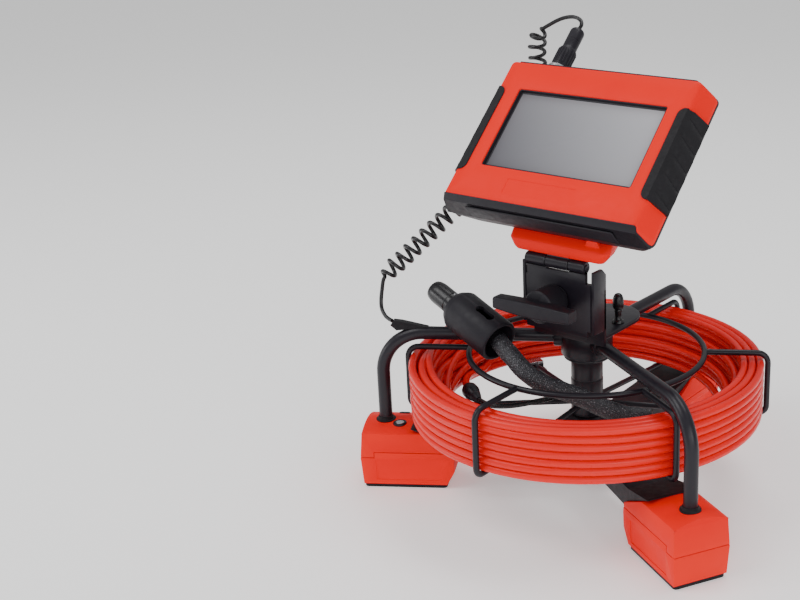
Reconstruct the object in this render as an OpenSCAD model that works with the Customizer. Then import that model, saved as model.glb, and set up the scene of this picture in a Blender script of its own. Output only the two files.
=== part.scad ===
// Inspection camera on a three-legged stand: a 5 inch monitor on a tilting shoe,
// a wire reel with a coiled push cable, and a camera head in a guide skid.
// Millimetres, +Z up, monitor facing -Y. The modules are drawn round the reel axis, and the
// whole stand is then moved so that the origin is in the middle of its footprint on the floor.

/* [Stand] */
// Angle of the first leg, the others follow at 120 degree steps
leg_angle = -30; // [-30:1:-28]
// Radius of the three vertical leg tubes from the reel axis
leg_r = 155; // [154:0.5:156]
// Height of the horizontal leg tubes
arm_z = 119.5; // [119.5:0.1:119.8]
// Outer diameter of the leg tubes
tube_d = 10; // [9:0.5:10]
// Bend radius of the leg tubes
tube_bend = 32; // [30:1:33]

/* [Feet] */
// Inner end of a foot, at the floor
foot_r0 = 106; // [105:0.5:107]
// Outer end of a foot, at the floor
foot_r1 = 170; // [169:0.5:171]
// Half width of a foot at its parting line
foot_hw = 21.6; // [21:0.1:22]
// Height of the flat shoulders of a foot
foot_h = 44.6; // [44:0.1:45]
// Height of the parting line between the two foot shells
foot_seam = 25; // [24:0.5:26]

/* [Reel] */
// Outer radius of the cable coil
coil_r = 132.5; // [132:0.5:133]
// Radial depth of the cable coil
coil_w = 24.7; // [24:0.1:25]
// Lower face of the cable coil
coil_z0 = 62.7; // [62.7:0.1:63]
// Upper face of the cable coil
coil_z1 = 103.8; // [103.5:0.1:103.8]
// Diameter of the reel wires
wire_d = 4.5; // [4:0.1:4.5]
// Radius of the upper wire ring
ring_r = 88; // [87:0.5:88]

/* [Push cable and camera] */
// Push cable diameter
cable_d = 6; // [5.5:0.1:6]
// Braided neck diameter
neck_d = 14; // [13:0.5:14]
// Guide skid outer diameter
skid_d = 32; // [31:0.5:32]
// Guide skid length
skid_l = 50; // [49:0.5:50]
// Camera head diameter
head_d = 17; // [16:0.5:17]

/* [Monitor] */
// Width of the monitor face
mon_w = 160; // [159:0.5:161]
// Height of the monitor face
mon_h = 117; // [116.5:0.5:117]
// Width of the screen window
win_w = 124; // [122:0.5:125]
// Height of the screen window
win_h = 66; // [64:0.5:67]
// Depth of the front frame
bezel_t = 20; // [20:0.1:20.5]
// Overall depth of the monitor
mon_t = 40; // [39.8:0.1:40]
// Backward tilt of the monitor at rest
tilt = 46; // [45.8:0.1:46.2]

/* [Hidden] */
$fn = 64;
LEGS = [0, 1, 2];
tube_r = tube_d / 2;
tube_bore = tube_r - 1.2;
wire_r = wire_d / 2;
post_r = 8;
run_gap = 0.05;
sleeve_r = 12.2;
collar_r = 19.5;
collar_z0 = 103;
plate_z0 = 124.5;
plate_t = 3.5;
foot_bulge = 1.5;
hub_r = 27;
hub_z0 = 26;
hub_z1 = 44;
hub_top = 58;
sleeve_z0 = 59.1;
sleeve_z1 = 86.5;
ring_z = 108.3;
spoke_z0 = 60;
spoke_z1 = 66.5;
spoke_bend_r = 108;
bracket_r = coil_r + wire_r + 0.6;
clamp_r = 98;
top_bend = 8;
low_bend = 6;
// how far the reel axis stands in front of the middle of the footprint
axis_y = (foot_r1 + foot_bulge - bracket_r - wire_r) / 2;
wall = 2.5;
sole_t = 3;
crown = 4;
// where the flat top of a foot starts, and the lower inner end of the slope that the arm lies on
slope_r1 = 133;
slope_r0 = 100;
slope_z0 = 33;
// hinge axis and centre of the monitor face, as [x, y, z]
hinge = [0, -35, 186];
face = [0, -21, 272.5];
window_x = 0.9;
window_z = 3.4;
// how far the housing rises above the face's nominal upper edge, and the black strip up the face
top_rise = 2.5;
strip_rise = 0.8;
knob_z = 160;
plug_x = -47;
plug_y = 12;
// guide skid: middle of its closed end and direction towards its mouth
skid_at = [-82.5, -51, 141.5];
skid_to = [-38, -59, 126.5];
// turn of the skid's parking slot about the skid's axis
slot_turn = 180;
// power button on the left-hand foot, outwards and across, and its socket cap, outwards and up
button_at = [143, 7];
cap_at = [146, 34];
cap_r = 5;
// routes of the free cords
neck_path = [
    [-38, -59, 126.5], [-22, -65, 120.5], [-7, -68, 112.3], [5, -63, 104],
    [18, -55, 98], [32, -49, 93], [46, -46, 88.5], [62, -42, 85.5], [78, -35, 84.5]
];
lead_path = [[78, -35, 84.5], [88, -28, 84.5], [96, -16, 85], [101, -2, 86], [103, 12, 87], [102.3, 20, 88]];
tail_path = [[-104, 6, 68], [-103, -8, 69], [-99, -20, 71], [-93, -30, 71.4], [-86, -37, 70.6]];
boot_path = [[-86, -37, 70.6], [-66, -48.5, 69.6]];
hub_lead_path = [
    [-66, -48.5, 69.6], [-52, -52, 69.6], [-38, -46, 70.4], [-25, -33, 72],
    [-16, -18, 73], [-11.5, -5.5, 74]
];
cord_top_path = [
    [-47, 61.86, 335.84], [-47, 63.3, 337.23], [-47, 64.74, 338.62], [-48.9, 67.2, 341], [-53.2, 68.6, 343],
    [-59.5, 68.9, 343.4], [-68, 68.5, 341.4], [-77.5, 67.8, 336.8], [-86, 67, 331]
];
curl_path = [
    [-86, 67, 331], [-91, 68.5, 320], [-92, 70, 300], [-92, 66, 275], [-95, 50, 250],
    [-102, 22, 226], [-110, -12, 206], [-122, -36, 186], [-134, -52, 169], [-142, -61, 159]
];
cord_tail_path = [
    [-142, -61, 159], [-144, -64, 146], [-142.5, -67, 135], [-136, -70, 129.5], [-128.5, -71.3, 127.6]
];
curl_d = 15;
cord_d = 3;

// ---------- helpers ----------

// moves the stand so that the middle of its footprint is at the origin
module on_floor() {
    translate([0, -axis_y, 0]) children();
}

// puts a shape on leg n, +X pointing outwards along that leg
module on_leg(n) {
    rotate([0, 0, leg_angle + 120 * n]) children();
}

// a round bar between two points
module bar(p, q, r) {
    d = q - p;
    translate(p)
        rotate([0, acos(d[2] / norm(d)), atan2(d[1], d[0])])
            cylinder(r = r, h = norm(d));
}

function unit(v) = v / norm(v);

function tangent(path, i) =
    i == 0 ? unit(path[1] - path[0])
    : i == len(path) - 1 ? unit(path[i] - path[i - 1])
    : unit(unit(path[i + 1] - path[i]) + unit(path[i] - path[i - 1]));

function carry(n, t) = unit(n - (n * t) * t);

function normals(path, i, n0) =
    i == 0 ? [carry(n0, tangent(path, 0))]
    : let (before = normals(path, i - 1, n0)) concat(before, [carry(before[i - 1], tangent(path, i))]);

function catmull(a, b, c, d, t) =
    0.5 * ((2 * b) + (c - a) * t + (2 * a - 5 * b + 4 * c - d) * t * t + (3 * b - a - 3 * c + d) * t * t * t);

function smooth(path, n) = concat(
    [for (i = [0 : len(path) - 2], k = [0 : n - 1])
        catmull(path[max(i - 1, 0)], path[i], path[i + 1], path[min(i + 2, len(path) - 1)], k / n)],
    [path[len(path) - 1]]);

// a closed tube of diameter d swept along a route
module cord(route, d, n, sides) {
    path = smooth(route, n);
    rows = normals(path, len(path) - 1, [0.1, 0.9, 0.3]);
    points = [for (i = [0 : len(path) - 1], k = [0 : sides - 1])
        let (u = rows[i], v = cross(tangent(path, i), u), a = 360 * k / sides)
            path[i] + d / 2 * (cos(a) * u + sin(a) * v)];
    sides_of = [for (i = [0 : len(path) - 2], k = [0 : sides - 1])
        [i * sides + k, (i + 1) * sides + k, (i + 1) * sides + (k + 1) % sides, i * sides + (k + 1) % sides]];
    first = [for (k = [0 : sides - 1]) k];
    last = [for (k = [sides - 1 : -1 : 0]) (len(path) - 1) * sides + k];
    polyhedron(points, concat(sides_of, [first], [last]));
}

// ---------- stand ----------

module base_hub() {
    color("#1c1b1f") difference() {
        rotate_extrude()
            polygon([[0, hub_z0], [hub_r, hub_z0], [hub_r, hub_z1], [sleeve_r + 2, hub_top], [0, hub_top]]);
        translate([0, 0, hub_z0 - 1]) cylinder(r = 13, h = 20);
        translate([0, 0, hub_z0]) cylinder(r = post_r, h = hub_top);
    }
}

module hub_cover() {
    color("#1c1b1f") translate([0, 0, hub_z0 - 3]) cylinder(r = hub_r - 1, h = 3);
}

module slip_ring() {
    color("#5a5a60") translate([0, 0, hub_z0]) cylinder(r = 12.5, h = 18);
}

module core_post() {
    color("#8d8d93") translate([0, 0, hub_z0 + 19]) difference() {
        cylinder(r = post_r, h = plate_z0 - hub_z0 - 19);
        translate([0, 0, -1]) cylinder(r = post_r - 2, h = plate_z0);
    }
}

module washer(z, h) {
    translate([0, 0, z]) difference() {
        cylinder(r = sleeve_r - 0.4, h = h);
        translate([0, 0, -1]) cylinder(r = post_r, h = h + 2);
    }
}

module reel_washers() {
    color("#d8d8d0") {
        washer(hub_top, 1);
        washer(sleeve_z1 + 0.1, 0.8);
    }
}

module upper_column() {
    color("#201f23") translate([0, 0, sleeve_z1 + 0.9]) difference() {
        cylinder(r = 12, h = collar_z0 - sleeve_z1 - 0.9);
        translate([0, 0, -1]) cylinder(r = post_r, h = 30);
    }
}

module collar() {
    color("#201f23") difference() {
        union() {
            translate([0, 0, collar_z0]) cylinder(r1 = collar_r - 1.2, r2 = collar_r, h = 1.2);
            translate([0, 0, collar_z0 + 1.2]) cylinder(r = collar_r, h = plate_z0 - collar_z0 - 1.2);
            intersection() {
                translate([0, 0, collar_z0]) cylinder(r = 40, h = plate_z0 - collar_z0);
                for (n = LEGS) on_leg(n) translate([15, 0, arm_z]) rotate([0, 90, 0]) cylinder(r = 6.5, h = 10);
            }
        }
        translate([0, 0, collar_z0 - 1]) cylinder(r = post_r, h = 30);
        for (n = LEGS) on_leg(n) translate([17, 0, arm_z]) rotate([0, 90, 0]) cylinder(r = tube_r, h = 20);
    }
}

// arms from the hub, each lying on the slope of its foot
module base_arms() {
    z0 = hub_z0 + 1;
    color("#1c1b1f") for (n = LEGS) on_leg(n) difference() {
        intersection() {
            linear_extrude(60)
                polygon([[20, -13], [slope_r0, -18], [slope_r1, -20], [slope_r1, 20], [slope_r0, 18],
                    [20, 13]]);
            translate([0, 30, 0]) rotate([90, 0, 0]) linear_extrude(60)
                polygon([[20, z0], [slope_r0, z0], [slope_r0, slope_z0], [slope_r1, foot_h + crown],
                    [slope_r1 - 3, foot_h + crown], [slope_r0, hub_z1 - 1], [20, hub_z1 - 1]]);
        }
        translate([0, 0, hub_z0]) cylinder(r = hub_r, h = 40);
    }
}

// side outline of a whole foot, X outwards and Y up
module foot_side() {
    polygon([[foot_r0, sole_t], [foot_r1, sole_t], [foot_r1 + foot_bulge, foot_seam], [foot_r1, foot_h],
        [foot_r1, foot_h + crown], [slope_r1, foot_h + crown], [slope_r0, slope_z0], [slope_r0, 14]]);
}

// end outline of a whole foot, X across and Y up, with a crowned top
module foot_end() {
    r = (foot_hw * foot_hw + crown * crown) / (2 * crown);
    intersection() {
        polygon([[-foot_hw + 1, sole_t], [foot_hw - 1, sole_t], [foot_hw, foot_seam],
            [foot_hw - 1, foot_h + crown], [-foot_hw + 1, foot_h + crown], [-foot_hw, foot_seam]]);
        translate([0, foot_h + crown - r]) circle(r = r, $fn = 128);
    }
}

module foot_block() {
    intersection() {
        translate([0, 30, 0]) rotate([90, 0, 0]) linear_extrude(60) foot_side();
        translate([80, 0, 0]) rotate([90, 0, 90]) linear_extrude(110) foot_end();
    }
}

module foot_cavity() {
    half = foot_hw - wall - 1;
    translate([0, half, 0]) rotate([90, 0, 0]) linear_extrude(2 * half)
        polygon([[foot_r0, sole_t + wall], [foot_r1 - wall, sole_t + wall], [foot_r1 - wall, foot_h - wall],
            [slope_r1 + 2, foot_h - wall], [foot_r0, slope_z0 - wall]]);
}

module foot_shell(n, z0, z1) {
    color("#e83e2a") on_leg(n) difference() {
        intersection() {
            foot_block();
            translate([80, -40, z0]) cube([110, 80, z1 - z0]);
        }
        foot_cavity();
        translate([leg_r, 0, foot_h - 8]) cylinder(r = tube_r, h = 20);
        if (n == 2) translate([button_at[0], button_at[1], foot_h - 8]) cylinder(r = 3.6, h = 20);
        if (n == 2) on_cap() cylinder(r = cap_r, h = 20);
    }
}

module foot_upper(n) {
    foot_shell(n, foot_seam, foot_h + crown + 5);
}

module foot_lower(n) {
    foot_shell(n, sole_t, foot_seam);
}

module foot_soles() {
    color("#18171a") for (n = LEGS) on_leg(n)
        translate([foot_r0, -foot_hw + 1.4, 0]) cube([foot_r1 - foot_r0, 2 * foot_hw - 2.8, sole_t]);
}

module leg_shape(r) {
    translate([17, 0, arm_z]) rotate([0, 90, 0]) cylinder(r = r, h = leg_r - tube_bend - 17);
    translate([leg_r - tube_bend, 0, arm_z - tube_bend]) rotate([90, 0, 0])
        rotate_extrude(angle = 90) translate([tube_bend, 0]) circle(r = r);
    translate([leg_r, 0, foot_h - 3]) cylinder(r = r, h = arm_z - tube_bend - foot_h + 3);
}

module leg_tube(n) {
    color("#232227") on_leg(n) difference() {
        leg_shape(tube_r);
        leg_shape(tube_bore);
    }
}

module tube_grommets() {
    color("#18171a") for (n = LEGS) on_leg(n) translate([leg_r, 0, foot_h + crown]) difference() {
        rotate_extrude() polygon([[0, 0], [7.4, 0], [7.4, 1.2], [6.2, 2.6], [0, 2.6]]);
        translate([0, 0, -1]) cylinder(r = tube_r, h = 10);
    }
}

// round cells lying along the two right-hand feet
module battery_cells() {
    color("#3a6ea5") for (n = [0, 1], side = [-1, 1]) on_leg(n)
        translate([110, side * 8.5, 14]) rotate([0, 90, 0]) cylinder(r = 7.2, h = 50);
}

module power_board() {
    color("#1f6b3a") on_leg(2) translate([110, -16, 20]) cube([50, 32, 1.6]);
}

module power_button() {
    color("#c9c9cc") on_leg(2) translate([button_at[0], button_at[1], foot_h - 3]) cylinder(r = 3.5, h = 7.5);
}

// puts a shape on the socket's axis, +Z out through the rear flank of the foot
module on_cap() {
    translate([cap_at[0], -foot_hw + 4, cap_at[1]]) rotate([90, 0, 0]) children();
}

module socket_cap() {
    color("#18171a") on_leg(2) on_cap() cylinder(r = cap_r, h = 5);
}

module top_plate() {
    color("#26252a") translate([0, 0, plate_z0]) linear_extrude(plate_t) difference() {
        union() {
            translate([0, 30]) circle(r = 24, $fn = 96);
            translate([-24, -21]) square([48, 51]);
        }
        translate([16.5, 17.5]) circle(r = 2.5);
    }
}

// peg on which the skid's slot is parked
module parking_peg() {
    color("#18171a") translate([16.5, 17.5, plate_z0]) {
        cylinder(r = 2.5, h = plate_t);
        translate([0, 0, plate_t]) rotate_extrude()
            polygon([[0, 0], [3.4, 0], [3.4, 3], [2.5, 4.5], [2.5, 9], [3.2, 10.5], [4.2, 12.5],
                [4.2, 18], [3.2, 21], [1.6, 22.6], [0, 23]]);
    }
}

// upright channel on the front edge of the plate, holding the carrier plate
module channel() {
    color("#232227") difference() {
        union() {
            translate([-31, -24, plate_z0]) cube([62, 3, 43.5]);
            for (side = [-1, 1]) translate([side * 29.75 - 1.25, -24, 137]) rotate([90, 0, 90])
                linear_extrude(2.5) polygon([[3, 0], [-13, 0], [-13, 47], [-2, 47], [3, 42]]);
            translate([0, -21, knob_z]) rotate([-90, 0, 0]) cylinder(r = 6.5, h = 5, $fn = 6);
        }
        translate([0, -30, knob_z]) rotate([-90, 0, 0]) cylinder(r = 4, h = 20);
    }
}

module carrier_plate() {
    color("#26252a") difference() {
        union() {
            translate([-28, -37, 134]) cube([56, 3.5, 50]);
            translate([-27.5, hinge[1], hinge[2]]) rotate([0, 90, 0]) cylinder(r = 4.5, h = 17.5);
            translate([10, hinge[1], hinge[2]]) rotate([0, 90, 0]) cylinder(r = 4.5, h = 13.5);
        }
        translate([-9.9, -40, 180.7]) cube([19.8, 12, 12]);
        translate([23.5, -40, 174.5]) cube([10, 12, 20]);
        translate([-29, -40, 174.5]) cube([2.5, 12, 5.5]);
        translate([25, -40, 133]) cube([10, 12, 6]);
        translate([-40, hinge[1], hinge[2]]) rotate([0, 90, 0]) cylinder(r = 2.5, h = 80);
        translate([0, -40, knob_z]) rotate([-90, 0, 0]) cylinder(r = 4.2, h = 20);
    }
}

module hinge_pin() {
    color("#b9b9bd") translate([-28, hinge[1], hinge[2]]) rotate([0, 90, 0])
        cylinder(r = 2.5, h = 52.5);
}

module hinge_leaf() {
    color("#26252a") difference() {
        union() {
            translate([-9.7, hinge[1], hinge[2]]) rotate([0, 90, 0]) cylinder(r = 4.5, h = 19.4);
            translate([-9.7, hinge[1] - 1.5, hinge[2]]) cube([19.4, 3, 14]);
        }
        translate([-20, hinge[1], hinge[2]]) rotate([0, 90, 0]) cylinder(r = 2.5 + run_gap, h = 40);
    }
}

module knob_bar() {
    color("#232227") difference() {
        union() {
            translate([-32, -72, knob_z - 5.5]) cube([64, 12, 11]);
            translate([0, -38, knob_z]) rotate([90, 0, 0]) cylinder(r = 12, h = 22);
        }
        translate([0, -30, knob_z]) rotate([90, 0, 0]) cylinder(r = 4, h = 34);
    }
}

module knob_stud() {
    color("#9a9aa0") translate([0, -64, knob_z]) rotate([-90, 0, 0]) {
        cylinder(r = 4, h = 26);
        cylinder(r = 4 - run_gap, h = 50);
    }
}

// ---------- reel ----------

module reel_sleeve() {
    color("#232227") translate([0, 0, sleeve_z0]) difference() {
        cylinder(r = sleeve_r, h = sleeve_z1 - sleeve_z0);
        translate([0, 0, -1]) cylinder(r = post_r + run_gap, h = 60);
    }
}

module reel_ring() {
    color("#1f1e22") translate([0, 0, ring_z]) rotate_extrude($fn = 128)
        translate([ring_r, 0]) circle(r = wire_r, $fn = 32);
}

module wire_bend(bend, z, from) {
    translate([bracket_r - bend, 0, z]) rotate([90, 0, 0]) rotate([0, 0, from])
        rotate_extrude(angle = 90) translate([bend, 0]) circle(r = wire_r, $fn = 32);
}

module spoke() {
    bar([post_r, 0, spoke_z1], [spoke_bend_r + 2, 0, spoke_z0 - 0.1], wire_r - 0.15);
}

// one wire: out over the coil, down its outside, back below it and in to the hub
module bracket_wire() {
    bar([ring_r + 1, 0, ring_z], [bracket_r - top_bend, 0, ring_z], wire_r);
    wire_bend(top_bend, ring_z - top_bend, 0);
    bar([bracket_r, 0, spoke_z0 + low_bend], [bracket_r, 0, ring_z - top_bend], wire_r);
    wire_bend(low_bend, spoke_z0 + low_bend, 270);
    bar([spoke_bend_r, 0, spoke_z0], [bracket_r - low_bend, 0, spoke_z0], wire_r);
    spoke();
}

module reel_brackets() {
    color("#1f1e22") difference() {
        for (k = [0 : 5]) rotate([0, 0, 30 + 60 * k]) bracket_wire();
        reel_ring();
        cylinder(r = sleeve_r, h = 100);
    }
}

// puts a shape on the spoke that carries the clamp
module on_clamp() {
    rotate([0, 0, 150]) translate([clamp_r, 0, 0]) children();
}

module spoke_clamp() {
    color("#18171a") on_clamp() difference() {
        union() {
            translate([-6, -8.5, spoke_z0 - 9.5]) cube([12, 17, 7]);
            translate([-5, -6, spoke_z0 - 2.5]) cube([10, 12, 5.5]);
        }
        translate([-clamp_r, 0, 0]) spoke();
    }
}

module clamp_saddle() {
    color("#b9b9bd") on_clamp() translate([-5, -6, spoke_z0 + 3]) cube([10, 12, 2]);
}

module cable_coil() {
    c = 2.2;
    r0 = coil_r - coil_w;
    color("#e0382c") rotate_extrude($fn = 128)
        polygon([[r0, coil_z0 + c], [r0 + c, coil_z0], [coil_r - c, coil_z0], [coil_r, coil_z0 + c],
            [coil_r, coil_z1 - c], [coil_r - c, coil_z1], [r0 + c, coil_z1], [r0, coil_z1 - c]]);
}

module cable_tail() {
    color("#e0382c") cord(tail_path, cable_d, 2, 12);
}

module cable_boot() {
    axis = unit(boot_path[1] - boot_path[0]);
    color("#18171a") translate(boot_path[0])
        rotate([0, acos(axis[2]), atan2(axis[1], axis[0])])
            rotate_extrude() polygon([[0, 0], [4.4, 0], [6.3, 5], [6.3, 10],
                [3.4, norm(boot_path[1] - boot_path[0])], [0, norm(boot_path[1] - boot_path[0])]]);
}

module hub_lead() {
    color("#18171a") cord(hub_lead_path, 4, 2, 12);
}

// ---------- camera head and neck ----------

// puts a shape on the skid's axis, +Z from its closed end to its mouth
module on_skid() {
    axis = unit(skid_to - skid_at);
    translate(skid_at) rotate([0, acos(axis[2]), atan2(axis[1], axis[0])]) children();
}

module skid() {
    color("#1b1a1d") on_skid() difference() {
        rotate_extrude() polygon([[head_d / 2, 0], [skid_d / 2 - 4, 0], [skid_d / 2, 6],
            [skid_d / 2, skid_l - 2], [skid_d / 2 - 1, skid_l - 0.5], [13, skid_l - 0.5],
            [13, 14], [head_d / 2, 14]]);
        rotate([0, 0, slot_turn]) rotate([0, 90, 0]) {
            translate([-26.5, 0, 10]) cylinder(r = 3, h = 10);
            translate([-37.5, 0, 10]) cylinder(r = 3, h = 10);
            translate([-37.5, -3, 10]) cube([11, 6, 10]);
        }
    }
}

module camera_head() {
    r = head_d / 2;
    color("#232227") on_skid() difference() {
        rotate_extrude() polygon([[0, -26], [r - 3, -26], [r - 0.8, -23], [r, -19], [r, -4], [r, 22],
            [r - 1.5, 24], [neck_d / 2, 24], [neck_d / 2, norm(skid_to - skid_at)],
            [0, norm(skid_to - skid_at)]]);
        translate([0, 0, -27]) cylinder(r = 4.5, h = 4);
    }
}

module camera_lens() {
    color("#20303a") on_skid() translate([0, 0, -25.6]) cylinder(r = 4.5, h = 2.6);
}

module neck_sleeve() {
    color("#1a191c") cord(neck_path, neck_d, 2, 12);
}

module cable_lead() {
    color("#e0382c") cord(lead_path, cable_d, 2, 12);
}

// ---------- monitor ----------

// monitor frame: X across, Y back from the face, Z up the face
module on_monitor() {
    translate(face) rotate([-tilt, 0, 0]) children();
}

module round_rect(w, h, r) {
    square([w - 2 * r, h], center = true);
    square([w, h - 2 * r], center = true);
    for (x = [-1, 1], y = [-1, 1]) translate([x * (w / 2 - r), y * (h / 2 - r)]) circle(r = r);
}

// outline of the whole housing, seen from above and from the side
module housing() {
    w = mon_w / 2;
    h = mon_h / 2;
    intersection() {
        translate([0, 0, -80]) linear_extrude(160)
            polygon([[-w, 0], [w, 0], [w + 7, 17], [w + 7, bezel_t], [w - 8, mon_t], [-w + 8, mon_t],
                [-w - 7, bezel_t], [-w - 7, 17]]);
        translate([-100, 0, 0]) rotate([90, 0, 90]) linear_extrude(200)
            polygon([[0, -h + strip_rise], [0, h + top_rise], [bezel_t, h + top_rise], [mon_t, h - 6],
                [mon_t, -h + 3], [bezel_t, -h - 3.5], [4, -h - 3]]);
        translate([0, mon_t + 1, 0]) rotate([90, 0, 0]) linear_extrude(mon_t + 2)
            translate([0, -0.5]) round_rect(mon_w + 14, mon_h + 6, 5);
    }
}

module inside(y0, y1) {
    translate([-mon_w / 2 + 9, y0, -mon_h / 2 + 4]) cube([mon_w - 18, y1 - y0, mon_h - 12]);
}

module grip_zone(gap) {
    for (side = [-1, 1]) translate([side * (mon_w / 2 + 3) - 10 - gap, -5, -37.5 - gap])
        cube([20 + 2 * gap, bezel_t + 5, 75 + 2 * gap]);
}

module strip_zone() {
    translate([-mon_w / 2 + 1, -1, -mon_h / 2 - 10]) cube([mon_w - 2, bezel_t + 1, 10 + strip_rise]);
}

module monitor_frame() {
    color("#e8402b") on_monitor() difference() {
        intersection() {
            housing();
            translate([-100, -1, -80]) cube([200, bezel_t + 1, 160]);
        }
        grip_zone(0);
        strip_zone();
        inside(3.5, bezel_t + 1);
        translate([window_x - win_w / 2, -1, window_z - win_h / 2]) cube([win_w, 10, win_h]);
        translate([plug_x, plug_y, 0]) cylinder(r = 6, h = 100);
    }
}

module monitor_back() {
    color("#1b1a1e") on_monitor() difference() {
        intersection() {
            housing();
            translate([-100, bezel_t, -80]) cube([200, 40, 160]);
        }
        inside(bezel_t - 1, mon_t - wall);
        for (x = [-60, 60], z = [-40, 40]) translate([x, mon_t - wall - 1, z]) rotate([-90, 0, 0])
            cylinder(r = 1.8, h = 10);
    }
}

module screen_glass() {
    color("#8f9296") on_monitor() translate([window_x - win_w / 2 - 3, 3.5, window_z - win_h / 2 - 3])
        cube([win_w + 6, 1.5, win_h + 6]);
}

module display_panel() {
    color("#55585c") on_monitor() translate([window_x - win_w / 2 - 3, 5, window_z - win_h / 2 - 3])
        cube([win_w + 6, 4, win_h + 6]);
}

module main_board() {
    color("#1f6b3a") on_monitor() translate([-60, 24, -40]) cube([120, 1.6, 80]);
}

module grip(side) {
    color("#18171a") on_monitor() difference() {
        intersection() {
            grip_zone(0);
            housing();
            translate([side > 0 ? 0 : -120, -1, -60]) cube([120, bezel_t + 1, 120]);
        }
        for (k = [-2 : 2]) translate([side * (mon_w / 2 + 9), 12, k * 13 + 5]) rotate([0, side * 12, 0])
            cube([6, 30, 2.6], center = true);
    }
}

module monitor_strip() {
    color("#1b1a1e") on_monitor() intersection() {
        housing();
        strip_zone();
    }
}

module shoe() {
    color("#e8402b") difference() {
        intersection() {
            translate([-60, 0, 0]) rotate([90, 0, 90]) linear_extrude(120)
                polygon([[-36, 190.8], [-12, 190.8], [4, 205], [4, 245], [-36, 206], [-38.5, 203],
                    [-38.5, 194]]);
            translate([0, 20, 0]) rotate([90, 0, 0]) linear_extrude(80)
                polygon([[-38, 190.8], [38, 190.8], [44, 196], [47.5, 206], [47.5, 246], [-47.5, 246],
                    [-47.5, 206], [-44, 196]]);
            linear_extrude(260)
                polygon([[-44, -40], [44, -40], [44, -35], [30, 4], [-30, 4], [-44, -35]]);
        }
        on_monitor() translate([-100, -10, -mon_h / 2 - 4]) cube([200, mon_t + 10, 130]);
        translate([-9.7, hinge[1] - 1.5, hinge[2]]) cube([19.4, 3, 14]);
    }
}

module back_screws() {
    color("#8d8d93") on_monitor() for (x = [-60, 60], z = [-40, 40])
        translate([x, mon_t - wall, z]) rotate([-90, 0, 0]) {
            cylinder(r = 1.8, h = wall);
            translate([0, 0, wall]) cylinder(r = 3, h = 1.2);
        }
}

module plug() {
    color("#18171a") on_monitor() translate([plug_x, plug_y, mon_h / 2 + top_rise]) {
        translate([0, 0, -8]) cylinder(r = 6, h = 8);
        rotate_extrude() polygon([[0, 0], [8, 0], [8, 6], [7, 7.5], [7, 22], [5.4, 24],
            [5.2, 38], [3.5, 42.5], [0, 42.5]]);
    }
}

module cord_top() {
    color("#18171a") cord(cord_top_path, cord_d, 2, 8);
}

module curly_cord() {
    color("#18171a") cord(curl_path, curl_d, 3, 10);
}

module cord_tail() {
    color("#18171a") cord(cord_tail_path, cord_d, 2, 8);
}

// small wedge that leads the cord into the left-hand leg tube
module cord_grommet() {
    color("#3a393e") on_leg(2) difference() {
        translate([0, 2.5, 0]) rotate([90, 0, 0]) linear_extrude(5)
            polygon([[119, arm_z + 5], [143, arm_z + 2.2], [147.4, arm_z + 6.2], [145, arm_z + 10],
                [139, arm_z + 9.4]]);
        leg_shape(tube_r);
    }
}

on_floor() base_hub();
on_floor() hub_cover();
on_floor() slip_ring();
on_floor() core_post();
on_floor() reel_washers();
on_floor() upper_column();
on_floor() collar();
on_floor() base_arms();
on_floor() foot_upper(0);  // foot_upper_1
on_floor() foot_upper(1);  // foot_upper_2
on_floor() foot_upper(2);  // foot_upper_3
on_floor() foot_lower(0);  // foot_lower_1
on_floor() foot_lower(1);  // foot_lower_2
on_floor() foot_lower(2);  // foot_lower_3
on_floor() foot_soles();
on_floor() leg_tube(0);  // leg_tube_1
on_floor() leg_tube(1);  // leg_tube_2
on_floor() leg_tube(2);  // leg_tube_3
on_floor() tube_grommets();
on_floor() battery_cells();
on_floor() power_board();
on_floor() power_button();
on_floor() socket_cap();
on_floor() top_plate();
on_floor() parking_peg();
on_floor() channel();
on_floor() carrier_plate();
on_floor() hinge_pin();
on_floor() hinge_leaf();
on_floor() knob_bar();
on_floor() knob_stud();
on_floor() reel_sleeve();
on_floor() reel_ring();
on_floor() reel_brackets();
on_floor() spoke_clamp();
on_floor() clamp_saddle();
on_floor() cable_coil();
on_floor() cable_tail();
on_floor() cable_boot();
on_floor() hub_lead();
on_floor() skid();
on_floor() camera_head();
on_floor() camera_lens();
on_floor() neck_sleeve();
on_floor() cable_lead();
on_floor() monitor_frame();
on_floor() monitor_back();
on_floor() screen_glass();
on_floor() display_panel();
on_floor() main_board();
on_floor() grip(-1);  // grip_left
on_floor() grip(1);  // grip_right
on_floor() monitor_strip();
on_floor() shoe();
on_floor() back_screws();
on_floor() plug();
on_floor() cord_top();
on_floor() curly_cord();
on_floor() cord_tail();
on_floor() cord_grommet();
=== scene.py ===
"""Inspection camera: a tilting monitor on a three-legged stand round a reel of red push cable.

Pieces are drawn in millimetres round the reel's axis, +Z up and monitor facing -Y, and moved into the CAD's
frame, in metres, as they are built.
"""

import math
import random

import bmesh
import bpy
from mathutils import Matrix, Vector


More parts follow.
